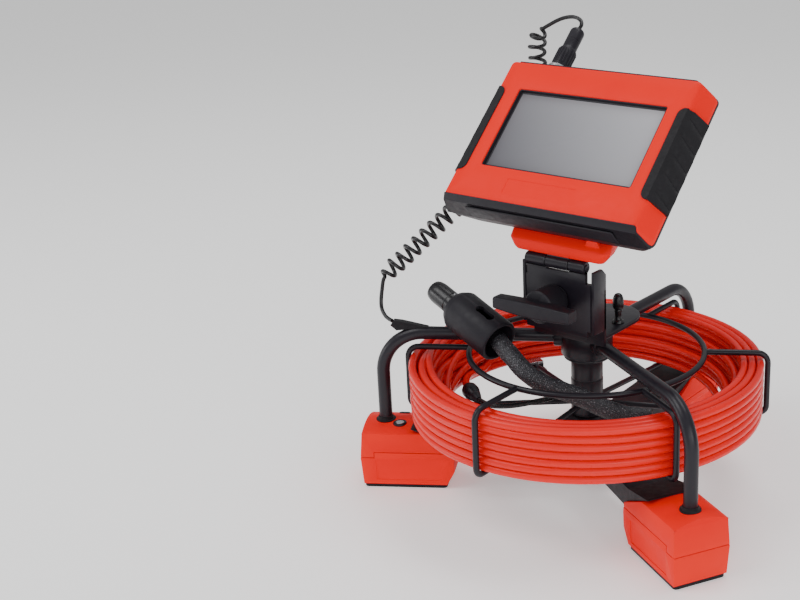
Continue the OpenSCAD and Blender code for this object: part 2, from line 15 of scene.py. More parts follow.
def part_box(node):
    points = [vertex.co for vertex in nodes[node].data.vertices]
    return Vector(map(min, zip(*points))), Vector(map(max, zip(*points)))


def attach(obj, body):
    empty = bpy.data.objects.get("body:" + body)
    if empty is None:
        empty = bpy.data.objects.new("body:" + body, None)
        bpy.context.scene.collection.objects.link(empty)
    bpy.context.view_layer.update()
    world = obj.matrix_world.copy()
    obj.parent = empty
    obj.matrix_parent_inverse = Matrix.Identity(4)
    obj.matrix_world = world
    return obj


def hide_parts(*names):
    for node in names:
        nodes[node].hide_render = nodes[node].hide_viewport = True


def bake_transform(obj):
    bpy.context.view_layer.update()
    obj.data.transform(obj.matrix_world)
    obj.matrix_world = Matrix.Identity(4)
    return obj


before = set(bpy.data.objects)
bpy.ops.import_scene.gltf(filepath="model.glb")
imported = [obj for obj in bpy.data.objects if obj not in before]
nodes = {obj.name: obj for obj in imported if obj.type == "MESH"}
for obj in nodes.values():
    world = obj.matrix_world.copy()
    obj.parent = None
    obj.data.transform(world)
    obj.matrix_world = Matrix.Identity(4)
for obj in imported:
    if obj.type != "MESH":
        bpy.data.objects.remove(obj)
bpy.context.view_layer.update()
random.seed(7)

MM = 0.001

# The reel's axis stands in front of the CAD's origin; its place is read from the post on it.
POST_LOW, POST_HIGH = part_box("core_post")
AXIS_Y = (POST_LOW[1] + POST_HIGH[1]) / 2

# Places and sizes that the pieces share, in millimetres (the CAD's own figures).
FACE = Vector((0, -21, 272.5))
TILT = math.radians(46)
WIN_W, WIN_H, WIN_X, WIN_Z = 124, 66, 0.9, 3.4
MON_TOP = 61
LEG_ANGLE = -30
FOOT_R0, FOOT_R1, FOOT_HW = 106, 170, 21.6
FOOT_SEAM, FOOT_H, FOOT_CROWN, SOLE = 25, 44.6, 4, 3
SLOPE_R0, SLOPE_R1, SLOPE_Z0 = 100, 133, 33
BUTTON_AT, CAP_AT, TRIM_AT = (143, 7), (146, 34), (143.5, -14.4)
COIL_R, COIL_Z0, COIL_Z1 = 132.5, 62.7, 103.8
CABLE_D = 6
SKID_AT, SKID_TO = Vector((-82.5, -51, 141.5)), Vector((-38, -59, 126.5))

# Routes of the free cords, the same points as in the CAD, in millimetres.
NECK = [(-38, -59, 126.5), (-22, -65, 120.5), (-7, -68, 112.3), (5, -63, 104), (18, -55, 98),
        (32, -49, 93), (46, -46, 88.5), (62, -42, 85.5), (78, -35, 84.5)]
LEAD = [(78, -35, 84.5), (88, -28, 84.5), (96, -16, 85), (101, -2, 86), (103, 12, 87), (102.3, 20, 88)]
TAIL = [(-104, 6, 68), (-103, -8, 69), (-99, -20, 71), (-93, -30, 71.4), (-86, -37, 70.6)]
HUB_LEAD = [(-66, -48.5, 69.6), (-52, -52, 69.6), (-38, -46, 70.4), (-25, -33, 72), (-16, -18, 73),
            (-11.5, -5.5, 74)]
CORD_TOP = [(-47, 61.86, 335.84), (-47, 63.3, 337.23), (-47, 64.74, 338.62), (-48.9, 67.2, 341),
            (-53.2, 68.6, 343), (-59.5, 68.9, 343.4), (-68, 68.5, 341.4), (-77.5, 67.8, 336.8),
            (-86, 67, 331)]
CURL = [(-86, 67, 331), (-91, 68.5, 320), (-92, 70, 300), (-92, 66, 275), (-95, 50, 250), (-102, 22, 226),
        (-110, -12, 206), (-122, -36, 186), (-134, -52, 169), (-142, -61, 159)]
CORD_TAIL = [(-142, -61, 159), (-144, -64, 146), (-142.5, -67, 135), (-136, -70, 129.5),
             (-128.5, -71.3, 127.6)]


# ---------------------------------------------------------------- camera, light, floor

def aim(obj, direction):
    obj.rotation_euler = direction.to_track_quat("-Z", "Y").to_euler()


def make_camera():
    """The photograph's view: 33 degrees to the right of the monitor's front, 18.5 degrees up."""
    data = bpy.data.cameras.new("view_camera")
    data.lens = 59.6
    data.shift_x, data.shift_y = -0.257, -0.022
    data.clip_start, data.clip_end = 0.05, 20
    camera = bpy.data.objects.new("view_camera", data)
    bpy.context.scene.collection.objects.link(camera)
    azimuth, elevation, distance = math.radians(33), math.radians(18.5), 0.9758
    forward = Vector((-math.sin(azimuth) * math.cos(elevation), math.cos(azimuth) * math.cos(elevation),
                      -math.sin(elevation)))
    aside, target_z = 0.014, 0.1614
    target = Vector((aside * math.cos(azimuth), AXIS_Y + aside * math.sin(azimuth), target_z))
    camera.location = target - forward * distance
    aim(camera, forward)
    bpy.context.scene.camera = camera


def area_light(name, place, target, size, power):
    data = bpy.data.lights.new(name, "AREA")
    data.shape = "RECTANGLE"
    data.size, data.size_y = size
    data.energy = power
    light = bpy.data.objects.new(name, data)
    bpy.context.scene.collection.objects.link(light)
    light.location = place
    aim(light, Vector(target) - Vector(place))


def make_stage():
    bpy.ops.mesh.primitive_plane_add(size=8, location=(0, 0, 0))
    floor = bpy.context.object
    floor.name = "floor"
    m = bpy.data.materials.new("floor_white")
    m.use_nodes = True
    shader = m.node_tree.nodes["Principled BSDF"]
    shader.inputs["Base Color"].default_value = (0.9, 0.9, 0.9, 1)
    shader.inputs["Roughness"].default_value = 0.8
    shader.inputs["Emission Color"].default_value = (1, 1, 1, 1)
    shader.inputs["Emission Strength"].default_value = 0.36
    floor.data.materials.append(m)
    world = bpy.data.worlds.new("studio")
    bpy.context.scene.world = world
    world.use_nodes = True
    background = world.node_tree.nodes["Background"]
    background.inputs["Color"].default_value = (1, 1, 1, 1)
    background.inputs["Strength"].default_value = 0.46
    area_light("key", (-0.7, -0.9, 1.5), (0, 0, 0.15), (0.9, 0.9), 12)
    area_light("fill", (1.5, -0.7, 0.7), (0, 0, 0.15), (1.0, 0.8), 8)
    area_light("front", (0.9, -1.5, 0.5), (0, 0, 0.2), (0.8, 0.6), 4)
    area_light("left", (-1.4, -1.0, 0.35), (0, 0, 0.1), (0.7, 0.5), 5)
    area_light("top", (0.1, 0.5, 1.7), (0, 0, 0.15), (1.4, 0.6), 12)


make_camera()
make_stage()


# ---------------------------------------------------------------- materials

class Nodes:
    """A Principled material with a few shorthand calls for its node tree."""

    def __init__(self, name, colour, roughness, metallic=0.0, specular=0.5, coat=0.0, coat_roughness=0.1,
                 sheen=0.0):
        self.material = bpy.data.materials.new(name)
        self.material.use_nodes = True
        self.tree = self.material.node_tree
        self.shader = self.tree.nodes["Principled BSDF"]
        put = self.shader.inputs
        put["Base Color"].default_value = (*colour, 1)
        put["Roughness"].default_value = roughness
        put["Metallic"].default_value = metallic
        put["Specular IOR Level"].default_value = specular
        put["Coat Weight"].default_value = coat
        put["Coat Roughness"].default_value = coat_roughness
        put["Sheen Weight"].default_value = sheen
        self.place = self.add("ShaderNodeTexCoord").outputs["Object"]

    def add(self, kind, **values):
        node = self.tree.nodes.new(kind)
        for key, value in values.items():
            setattr(node, key, value)
        return node

    def link(self, a, b):
        self.tree.links.new(a, b)

    def noise(self, scale, detail=3.0, roughness=0.5, stretch=None):
        """A noise factor at scale features per metre, stretched by a 3-vector if given."""
        node = self.add("ShaderNodeTexNoise")
        node.inputs["Scale"].default_value = scale
        node.inputs["Detail"].default_value = detail
        node.inputs["Roughness"].default_value = roughness
        source = self.place
        if stretch:
            mapping = self.add("ShaderNodeMapping")
            mapping.inputs["Scale"].default_value = stretch
            self.link(source, mapping.inputs["Vector"])
            source = mapping.outputs["Vector"]
        self.link(source, node.inputs["Vector"])
        return node.outputs["Fac"]

    def spread(self, factor, low, high, from_low=0.3, from_high=0.7):
        """factor stretched to run from low to high."""
        node = self.add("ShaderNodeMapRange")
        node.inputs["From Min"].default_value = from_low
        node.inputs["From Max"].default_value = from_high
        node.inputs["To Min"].default_value = low
        node.inputs["To Max"].default_value = high
        self.link(factor, node.inputs["Value"])
        return node.outputs["Result"]

    def mix(self, factor, a, b):
        """A colour that goes from a to b as factor goes from 0 to 1."""
        node = self.add("ShaderNodeMix", data_type="RGBA")
        self.link(factor, node.inputs["Factor"])
        for value, socket in ((a, node.inputs["A"]), (b, node.inputs["B"])):
            if hasattr(value, "is_output"):
                self.link(value, socket)
            else:
                socket.default_value = (*value, 1)
        return node.outputs["Result"]

    def bump(self, height, distance, strength=0.4):
        node = self.add("ShaderNodeBump")
        node.inputs["Distance"].default_value = distance
        node.inputs["Strength"].default_value = strength
        self.link(height, node.inputs["Height"])
        if self.shader.inputs["Normal"].links:
            self.link(self.shader.inputs["Normal"].links[0].from_socket, node.inputs["Normal"])
        self.link(node.outputs["Normal"], self.shader.inputs["Normal"])

    def colour(self, socket):
        self.link(socket, self.shader.inputs["Base Color"])

    def rough(self, factor, low, high):
        self.link(self.spread(factor, low, high), self.shader.inputs["Roughness"])

    def worn_edges(self, base, worn, low=0.53, high=0.62):
        """Lighter rubbed colour where the surface turns a sharp edge."""
        point = self.add("ShaderNodeNewGeometry").outputs["Pointiness"]
        return self.mix(self.spread(point, 0, 0.6, low, high), base, worn)


def red_plastic():
    m = Nodes("red_moulded_plastic", (0.82, 0.010, 0.003), 0.5, specular=0.12)
    cloud = m.noise(22, 4)
    base = m.mix(m.spread(cloud, 0, 1), (0.86, 0.006, 0.002), (0.9, 0.009, 0.003))
    m.colour(m.worn_edges(base, (0.9, 0.035, 0.016)))
    m.rough(m.noise(160, 4), 0.42, 0.54)
    m.bump(m.noise(2600, 2), 0.00006, 0.35)
    return m.material


def black_plastic(name="black_moulded_plastic", colour=(0.0075, 0.0065, 0.0095), low=0.42, high=0.56):
    m = Nodes(name, colour, 0.45, specular=0.25)
    lighter = tuple(1.9 * c for c in colour)
    m.colour(m.worn_edges(m.mix(m.noise(40, 4), colour, lighter), (0.03, 0.028, 0.034)))
    m.rough(m.noise(220, 4), low, high)
    m.bump(m.noise(3200, 2), 0.00008, 0.5)
    return m.material


def powder_coat():
    """Satin black powder coat with a fine orange peel and a slight violet-grey cast."""
    m = Nodes("black_powder_coat", (0.012, 0.010, 0.015), 0.34, specular=0.32)
    m.colour(m.mix(m.noise(30, 3), (0.009, 0.0075, 0.0115), (0.015, 0.0125, 0.019)))
    m.rough(m.noise(300, 3), 0.28, 0.4)
    m.bump(m.noise(1500, 2), 0.00003, 0.25)
    return m.material


def rubber():
    m = Nodes("black_rubber", (0.007, 0.0065, 0.0085), 0.62, specular=0.22, sheen=0.06)
    m.colour(m.mix(m.noise(60, 4), (0.0055, 0.005, 0.0065), (0.011, 0.010, 0.013)))
    m.rough(m.noise(400, 3), 0.52, 0.72)
    m.bump(m.noise(2400, 3), 0.0001, 0.5)
    return m.material


def cord_rubber():
    m = Nodes("glossy_cord_rubber", (0.007, 0.0065, 0.0085), 0.3, specular=0.4)
    m.colour(m.mix(m.noise(80, 3), (0.0055, 0.005, 0.0065), (0.011, 0.010, 0.013)))
    m.rough(m.noise(500, 2), 0.22, 0.36)
    m.bump(m.noise(1800, 2), 0.00002, 0.25)
    return m.material


def red_cable():
    m = Nodes("red_cable_jacket", (0.76, 0.008, 0.004), 0.28, specular=0.32)
    m.colour(m.mix(m.spread(m.noise(12, 5), 0, 1), (0.74, 0.005, 0.003), (0.87, 0.009, 0.005)))
    m.rough(m.noise(90, 4), 0.26, 0.4)
    m.bump(m.noise(700, 3), 0.00008, 0.3)
    return m.material


def steel():
    m = Nodes("bright_steel", (0.6, 0.6, 0.62), 0.25, metallic=1.0)
    m.colour(m.mix(m.noise(90, 4), (0.5, 0.5, 0.52), (0.68, 0.68, 0.7)))
    m.rough(m.noise(900, 2, stretch=(1, 1, 12)), 0.18, 0.34)
    m.bump(m.noise(1500, 2, stretch=(1, 1, 10)), 0.00003, 0.3)
    return m.material


def braid_fibre():
    """Nylon monofilament, nearly black with a random tone, and sparse near-white flecks that are painted
    glints where a strand crowns.
    """
    m = Nodes("neck_braid_fibre", (0.008, 0.008, 0.010), 0.38, specular=0.45)
    tone = m.mix(m.noise(260, 2), (0.009, 0.009, 0.012), (0.045, 0.043, 0.052))
    # Painted glints: sparse near-white flecks stand in for highlights on the strands' crowns.
    m.colour(m.mix(m.spread(m.noise(1300, 1), 0, 1, 0.62, 0.7), tone, (0.26, 0.26, 0.28)))
    m.rough(m.noise(700, 2), 0.25, 0.45)
    m.bump(m.noise(3000, 2), 0.00005, 0.4)
    return m.material


def screen():
    """Switched-off display behind glass: a grey pane lightened towards the upper right by a painted
    reflection of the studio light.
    """
    m = Nodes("screen_glass_painted_reflection", (0.2, 0.2, 0.21), 0.5, specular=0.04)
    # Painted reflection: the colour grows lighter across to the right and up the pane, standing in for
    # light reflected in the glass.
    split = m.add("ShaderNodeSeparateXYZ")
    m.link(m.place, split.inputs["Vector"])
    add = m.add("ShaderNodeMath", operation="ADD")
    m.link(m.spread(split.outputs["X"], 0, 0.75, -WIN_W / 2 * MM, WIN_W / 2 * MM), add.inputs[0])
    m.link(m.spread(split.outputs["Z"], 0, 0.3, 0.25, 0.3), add.inputs[1])
    m.colour(m.mix(add.outputs["Value"], (0.115, 0.115, 0.13), (0.42, 0.42, 0.445)))
    m.rough(m.noise(60, 3), 0.46, 0.54)
    m.bump(m.noise(3500, 1), 0.00001, 0.2)
    return m.material


def dark_glass():
    m = Nodes("dark_lens_glass", (0.01, 0.012, 0.016), 0.05, specular=0.8, coat=1.0, coat_roughness=0.02)
    m.colour(m.mix(m.noise(400, 2), (0.006, 0.008, 0.012), (0.02, 0.024, 0.034)))
    m.rough(m.noise(200, 2), 0.03, 0.08)
    m.bump(m.noise(900, 1), 0.000005, 0.2)
    return m.material


def led_white():
    m = Nodes("led_resin", (0.85, 0.86, 0.84), 0.2, specular=0.6, coat=0.4)
    m.colour(m.mix(m.noise(900, 2), (0.8, 0.8, 0.74), (0.9, 0.91, 0.9)))
    m.rough(m.noise(800, 2), 0.15, 0.3)
    m.bump(m.noise(2500, 1), 0.00001, 0.2)
    return m.material


RED = red_plastic()
BLACK = black_plastic()
BLACK_FINE = black_plastic("black_fine_plastic", (0.009, 0.008, 0.0115), 0.32, 0.44)
COAT = powder_coat()
RUBBER = rubber()
CORD = cord_rubber()
CABLE = red_cable()
STEEL = steel()
BRAID = braid_fibre()
SCREEN = screen()
LENS = dark_glass()
LED = led_white()


# ---------------------------------------------------------------- mesh helpers

def piece(name, mesh, material, body, replaces=(), angle=35):
    """An object for a finished mesh (in metres), shaded smooth up to angle, riding on a body."""
    obj = bpy.data.objects.new(name, mesh)
    bpy.context.scene.collection.objects.link(obj)
    for one in material if isinstance(material, (list, tuple)) else [material]:
        mesh.materials.append(one)
    shade(obj, angle)
    if body:
        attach(obj, body)
    if replaces:
        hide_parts(*replaces)
    return obj


def shade(obj, angle):
    mesh = obj.data
    mesh.polygons.foreach_set("use_smooth", [True] * len(mesh.polygons))
    edges = bmesh.new()
    edges.from_mesh(mesh)
    for e in edges.edges:
        e.smooth = not (len(e.link_faces) == 2 and e.calc_face_angle(0) > math.radians(angle))
    edges.to_mesh(mesh)
    edges.free()


def build(name, points, faces):
    """A mesh from points in millimetres, with outward faces."""
    mesh = bpy.data.meshes.new(name)
    mesh.from_pydata([metres(p) for p in points], [], faces)
    work = bmesh.new()
    work.from_mesh(mesh)
    bmesh.ops.remove_doubles(work, verts=work.verts, dist=1e-6)
    bmesh.ops.recalc_face_normals(work, faces=work.faces)
    work.to_mesh(mesh)
    work.free()
    return mesh


def loft(name, rings, closed_start=True, closed_end=True, loop=False):
    """A skin through rings of equally many points each."""
    n = len(rings[0])
    points = [p for ring in rings for p in ring]
    count = len(rings)
    faces = [(i * n + k, i * n + (k + 1) % n, (i + 1) % count * n + (k + 1) % n, (i + 1) % count * n + k)
             for i in range(count if loop else count - 1) for k in range(n)]
    if not loop and closed_start:
        faces.append(tuple(range(n)))
    if not loop and closed_end:
        faces.append(tuple((count - 1) * n + k for k in range(n)))
    return build(name, points, faces)


def bevelled(mesh, width, segments=3, angle=30, miter="MITER_ARC"):
    """The mesh with its sharp edges rounded by width, in millimetres."""
    obj = bpy.data.objects.new("work", mesh)
    bpy.context.scene.collection.objects.link(obj)
    mod = obj.modifiers.new("round", "BEVEL")
    mod.width, mod.segments = width * MM, segments
    mod.limit_method, mod.angle_limit = "ANGLE", math.radians(angle)
    mod.miter_outer = miter
    mod.use_clamp_overlap = True
    bpy.context.view_layer.update()
    done = bpy.data.meshes.new_from_object(obj.evaluated_get(bpy.context.evaluated_depsgraph_get()))
    name = mesh.name
    bpy.data.objects.remove(obj)
    bpy.data.meshes.remove(mesh)
    done.name = name
    return done


def joined(name, meshes):
    """Several meshes in one, each keeping its own shell."""
    work = bmesh.new()
    for mesh in meshes:
        work.from_mesh(mesh)
    done = bpy.data.meshes.new(name)
    work.to_mesh(done)
    work.free()
    return done


def rounded(half_w, half_h, radius, steps=6, middle=(0.0, 0.0)):
    """A rounded rectangle's outline as (x, y) points, anticlockwise from its right side."""
    cx, cy = middle
    corners = [(1, -1, -90), (1, 1, 0), (-1, 1, 90), (-1, -1, 180)]
    out = []
    for sx, sy, start in corners:
        for k in range(steps + 1):
            a = math.radians(start + 90 * k / steps)
            out.append((cx + sx * (half_w - radius) + radius * math.cos(a),
                        cy + sy * (half_h - radius) + radius * math.sin(a)))
    return out


def turned(name, profile, place, sides=48, loop=False):
    """A turned shape from (radius, height) points on +Z; place moves its points to where it stands."""
    rings = [[place(Vector((r * math.cos(a), r * math.sin(a), z)))
              for a in (2 * math.pi * k / sides for k in range(sides))] for r, z in profile]
    return loft(name, rings, loop=loop)


def spoke(angle):
    """The level direction at an angle round the reel's axis."""
    return Vector((math.cos(angle), math.sin(angle), 0))


def axis_place(at, direction):
    """Turns a point measured along +Z from the origin into one along direction from at."""
    turn = Vector((0, 0, 1)).rotation_difference(direction.normalized()).to_matrix()
    return lambda p: at + turn @ p


def catmull(a, b, c, d, t):
    square, cube = 2 * a - 5 * b + 4 * c - d, 3 * b - a - 3 * c + d
    return 0.5 * ((2 * b) + (c - a) * t + square * t * t + cube * t ** 3)


def smooth(points, n):
    """A curve through the points, with n steps between each two."""
    p = [Vector(q) for q in points]
    last = len(p) - 1
    out = [catmull(p[max(i - 1, 0)], p[i], p[i + 1], p[min(i + 2, last)], k / n)
           for i in range(last) for k in range(n)]
    return out + [p[last]]


def even(points, step):
    """Points along the same line, about step apart."""
    out = [points[0]]
    lengths = [(b - a).length for a, b in zip(points, points[1:])]
    total = sum(lengths)
    count = max(2, round(total / step))
    want, run = total / count, 0.0
    target = want
    for a, b, length in zip(points, points[1:], lengths):
        while length > 0 and run + length >= target - 1e-9 and len(out) < count:
            out.append(a.lerp(b, (target - run) / length))
            target += want
        run += length
    return out + [points[-1]]


def tangents(path):
    last = len(path) - 1
    return [(path[min(i + 1, last)] - path[max(i - 1, 0)]).normalized() for i in range(last + 1)]


def frames(path):
    """Two steady directions across the path at each point."""
    along = tangents(path)
    u = along[0].cross(Vector((0.3, 0.2, 1))).normalized()
    out = []
    for t in along:
        u = (u - t * u.dot(t)).normalized()
        out.append((u, t.cross(u)))
    return out


def tube(name, path, radius, sides=12):
    """A tube of radius (a number, or a function of the share of the way along) round a path."""
    size = radius if callable(radius) else lambda s: radius
    rings = []
    for i, (p, (u, v)) in enumerate(zip(path, frames(path))):
        r = size(i / (len(path) - 1))
        rings.append([p + r * (math.cos(a) * u + math.sin(a) * v)
                      for a in (2 * math.pi * k / sides for k in range(sides))])
    return loft(name, rings)


def prism(name, outline, low, high, place):
    """A straight prism: place(a, b, c) is a point, with a, b from the outline and c from low to high."""
    return loft(name, [[place(a, b, c) for a, b in outline] for c in (low, high)])


def carve(mesh, tool, operation="DIFFERENCE"):
    """The mesh with another one cut out of it, or joined or intersected with it."""
    objs = [bpy.data.objects.new(one.name, one) for one in (mesh, tool)]
    for obj in objs:
        bpy.context.scene.collection.objects.link(obj)
    mod = objs[0].modifiers.new("cut", "BOOLEAN")
    mod.operation, mod.solver, mod.object = operation, "EXACT", objs[1]
    bpy.context.view_layer.update()
    graph = bpy.context.evaluated_depsgraph_get()
    done = bpy.data.meshes.new_from_object(objs[0].evaluated_get(graph))
    name = mesh.name
    for obj, old in zip(objs, (mesh, tool)):
        bpy.data.objects.remove(obj)
        bpy.data.meshes.remove(old)
    done.name = name
    done.materials.clear()
    return done


def box_points(a, b):
    return [(a[0], a[1]), (b[0], a[1]), (b[0], b[1]), (a[0], b[1])]


def block(name, low, high, place=lambda x, y, z: Vector((x, y, z))):
    return prism(name, box_points(low, high), low[2], high[2], place)


def metres(p):
    """A point drawn round the reel's axis, in millimetres, in the CAD's frame and metres."""
    return (p[0] * MM, p[1] * MM + AXIS_Y, p[2] * MM)


def length_of(path):
    return sum((b - a).length for a, b in zip(path, path[1:])) * MM


def ease(t):
    t = min(max(t, 0.0), 1.0)
    return t * t * (3 - 2 * t)


# ---------------------------------------------------------------- cords

def curve_cord(name, path, diameter, material, body, replaces):
    """A cord as one open spline with a round section."""
    data = bpy.data.curves.new(name, "CURVE")
    data.dimensions = "3D"
    data.bevel_depth = diameter / 2 * MM
    data.bevel_resolution = 3
    data.use_fill_caps = True
    spline = data.splines.new("POLY")
    spline.points.add(len(path) - 1)
    for point, p in zip(spline.points, path):
        point.co = (*metres(p), 1)
    spline.use_smooth = True
    data.materials.append(material)
    obj = bpy.data.objects.new(name, data)
    bpy.context.scene.collection.objects.link(obj)
    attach(obj, body)
    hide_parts(*replaces)
    return obj


def make_boot():
    """The ribbed black connector where the push cable enters the reel's lead."""
    start, end = Vector(TAIL[-1]), Vector(HUB_LEAD[0])
    place = axis_place(start, end - start)
    reach = (end - start).length
    profile = [(0.01, -0.5), (4.0, -0.5), (4.4, 0.2), (5.9, 3), (6.3, 4.4), (6.3, 9.4), (5.9, 10.6)]
    profile += [(5.8, 11.2), (5.2, 12.2), (5.3, 13.0), (4.7, 14.2), (4.8, 15.0), (4.2, 16.4), (4.3, 17.2)]
    profile += [(3.4, reach - 3.2), (2.4, reach), (0.01, reach)]
    return piece("cable_boot_body", turned("boot", profile, place, 40), BLACK_FINE, "reel",
                 ["cable_boot"], 30)


def make_camera_head():
    """Guide skid with its parking slot, and the camera head with a glass, lights and a grub screw."""
    axis = SKID_TO - SKID_AT
    place = axis_place(SKID_AT, axis)
    profile = [(8.7, 0), (11.6, 0), (12.8, 0.5), (15.4, 4.9), (16, 6.6), (16, 47.6), (15.4, 48.9),
               (14.4, 49.5), (13.4, 49.3), (13, 48.4), (13, 14), (8.7, 14)]
    mesh = turned("skid", profile, place, 72, loop=True)
    turn = math.radians(180)
    flat = axis.normalized()
    around = Vector((0, 0, 1)).rotation_difference(flat).to_matrix()
    out = around @ spoke(turn)
    side = flat.cross(out)
    slot = [(32 + 5.5 * end + 3.3 * math.cos(t), 3.3 * math.sin(t)) for end in (1, -1)
            for t in (math.radians(-118 + 23.6 * k + (0 if end > 0 else 180)) for k in range(11))]
    cutter = prism("slot", slot, 9, 20, lambda a, b, c: SKID_AT + flat * a + side * b + out * c)
    parts = [piece("skid_shell", carve(mesh, cutter), BLACK, "stand", ["skid"], 32)]
    head = [(4.5, -23), (4.6, -26), (6.4, -26), (7.2, -25.4), (7.9, -23.6), (8.3, -21), (8.5, -19),
            (8.5, -6.4), (8.1, -6.0), (8.1, -5.4), (8.5, -5.0), (8.5, 22), (7, 24), (7, 49), (0.01, 49)]
    parts.append(piece("camera_head_body", turned("head", head, place, 56), CORD, "stand",
                       ["camera_head"], 32))
    lens = [(0.01, -24.6), (1.6, -24.8), (3.0, -24.6), (4.55, -24.2), (4.55, -22.8), (0.01, -22.8)]
    parts.append(piece("camera_lens_glass", turned("lens", lens, place, 40), LENS, "stand",
                       ["camera_lens"], 40))
    lights = []
    for k in range(8):
        a = 2 * math.pi * k / 8
        spot = place(Vector((5.5 * math.cos(a), 5.5 * math.sin(a), -26.2)))
        lights.append(turned("light", [(0.01, 0), (0.6, 0.05), (0.75, 0.3), (0.75, 0.7), (0.01, 0.7)],
                             axis_place(spot, axis), 14))
    parts.append(piece("head_lights", joined("lights", lights), LED, "stand", (), 40))
    grub_at = turn - 0.25
    spot = place(Vector((8.3 * math.cos(grub_at), 8.3 * math.sin(grub_at), -4.2)))
    screw = [(0.01, 0.1), (0.5, 0.1), (0.6, 0.45), (1.2, 0.5), (1.3, 0.1), (1.3, -0.4), (0.01, -0.4)]
    grub = turned("grub", screw, axis_place(spot, around @ spoke(grub_at)), 20)
    parts.append(piece("head_grub_screw", grub, STEEL, "stand", (), 40))
    return parts


def coil_path():
    """The wound cable from its inner end outwards: (layer, row) of each turn, layer 0 outermost."""
    row_h = (COIL_Z1 - COIL_Z0) / 7
    turns = [(4, 1), (4, 0), (4, 2)]
    turns += [(3, 4), (3, 3), (3, 2), (3, 1), (3, 0)]
    turns += [(2, row) for row in range(7)]
    turns += [(1, row) for row in range(6, -1, -1)]
    turns += [(0, row) for row in range(7)]
    steps, start = 72, math.radians(176.7)
    wave = [[random.uniform(0, 2 * math.pi) for _ in range(4)] for _ in turns]
    path = []
    for n, (layer, row) in enumerate(turns):
        after = turns[min(n + 1, len(turns) - 1)]
        for k in range(steps):
            share = k / steps
            move = ease((share - 0.86) / 0.14)
            lay, height = layer + (after[0] - layer) * move, row + (after[1] - row) * move
            a = 2 * math.pi * share
            loose = (0.22 + 0.1 * lay + (0.25 if row > 4 else 0)) * (0.6 + 0.4 * math.sin(a + 2.2))
            r = COIL_R - CABLE_D * (lay + 0.5) + loose * math.sin(2 * a + wave[n][0])
            r += 0.3 * loose * math.sin(5 * a + wave[n][1])
            z = COIL_Z0 + row_h * (height + 0.5)
            if row:
                z += 0.7 * loose * math.sin(3 * a + wave[n][2])
            if n == 1:
                r -= 5.5 * max(0.0, math.sin(a - 0.9)) ** 2
            angle = start - a
            path.append(Vector((r * math.cos(angle), r * math.sin(angle), z)))
    return path


def make_push_cable(boot):
    tail = even(smooth(TAIL, 6), 2.5)
    path = list(reversed(tail)) + coil_path()[1:]
    cable = curve_cord("push_cable", path, CABLE_D - 0.1, CABLE, "reel",
                       ["cable_coil", "cable_tail"])
    lead = even(smooth(HUB_LEAD, 8), 2.0)
    thin = curve_cord("hub_lead_cord", lead, 4, CORD, "reel", ["hub_lead"])


def make_camera_lead():
    path = even(smooth(LEAD, 8), 2.0)
    lead = curve_cord("camera_lead", path, CABLE_D - 0.1, CABLE, "stand", ["cable_lead"])


def make_neck(head):
    """The braided neck: a dark core with two families of crossing strands round it."""
    path = even(smooth(NECK, 10), 2.0)
    radius = 6.0
    core = piece("neck_core", tube("neck_core", path, radius, 20), RUBBER, "stand", ["neck_sleeve"])
    total = length_of(path) / MM
    fine = even(path, 1.0)
    across = frames(fine)
    strands = []
    families, per_family, pitch = (1, -1), 24, 45.0
    for turn in families:
        for k in range(per_family):
            line = []
            for i, (p, (u, v)) in enumerate(zip(fine, across)):
                along = total * i / (len(fine) - 1)
                a = turn * 2 * math.pi * along / pitch + 2 * math.pi * k / per_family
                weave = math.cos(per_family * 2 * math.pi * along / pitch + math.pi * k)
                over = radius + 0.42 + 0.26 * turn * weave
                line.append(p + over * (math.cos(a) * u + math.sin(a) * v))
            strands.append(ribbon("strand", line, path_normals(line, fine), 0.9, 0.2))
    sleeve = piece("neck_braid", joined("neck_braid", strands), BRAID, "stand", angle=60)


def path_normals(line, centre):
    return [(p - c).normalized() for p, c in zip(line, centre)]


def ribbon(name, line, outward, width, thick):
    """A flat strand along a line, lying square to outward."""
    along = tangents(line)
    rings = []
    for p, n, t in zip(line, outward, along):
        side = t.cross(n).normalized() * width / 2
        lift = n * thick
        rings.append([p - side, p - side * 0.6 + lift, p + side * 0.6 + lift, p + side])
    return loft(name, rings, False, False)


def make_curly_cord():
    """One thin cord: straight from the plug, wound into a curl, and straight down to the leg tube."""
    centre = even(smooth(CORD_TOP + CURL[1:] + CORD_TAIL[1:], 12), 0.5)
    across = frames(centre)
    total = length_of(centre) / MM
    curl_from = length_of(smooth(CORD_TOP + CURL[1:2], 12)[:12 * (len(CORD_TOP) - 1) + 1]) / MM
    curl_to = total - length_of(smooth(CORD_TAIL, 12)) / MM
    pitch, radius, run = 8.4, 6.0, 9.0
    path = []
    for i, (p, (u, v)) in enumerate(zip(centre, across)):
        along = total * i / (len(centre) - 1)
        size = radius * ease((along - curl_from + 4) / run) * ease((curl_to + 4 - along) / run)
        a = 2 * math.pi * (along - curl_from) / pitch
        path.append(p + size * (math.cos(a) * u + math.sin(a) * v))
    cord = piece("curly_cord_piece", tube("curly_cord_piece", path, 1.5, 10), CORD, None,
                 ["cord_top", "curly_cord", "cord_tail"], 80)
    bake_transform(cord)


make_push_cable(make_boot())
make_camera_lead()
make_neck(make_camera_head())
make_curly_cord()


# ---------------------------------------------------------------- monitor

TILT_TURN = Matrix.Rotation(-TILT, 3, "X")


def on_face(p):
    """A monitor point (across, depth behind the face, up the face) in the CAD's frame, in millimetres."""
    return FACE + TILT_TURN @ Vector(p)


def on_plan(a, b, c):
    return on_face((a, b, c))


def into_face(a, b, c):
    return on_face((a, c, b))


def plug_place():
    return axis_place(on_face((-47, 12, MON_TOP)), on_face((0, 0, 1)) - FACE)


def window_ring(grow, depth, radius=1.6):
    """The window's outline, grown, at a depth behind the face."""
    return rounded(WIN_W / 2 + grow, WIN_H / 2 + grow, radius, 8, (WIN_X, WIN_Z)), depth


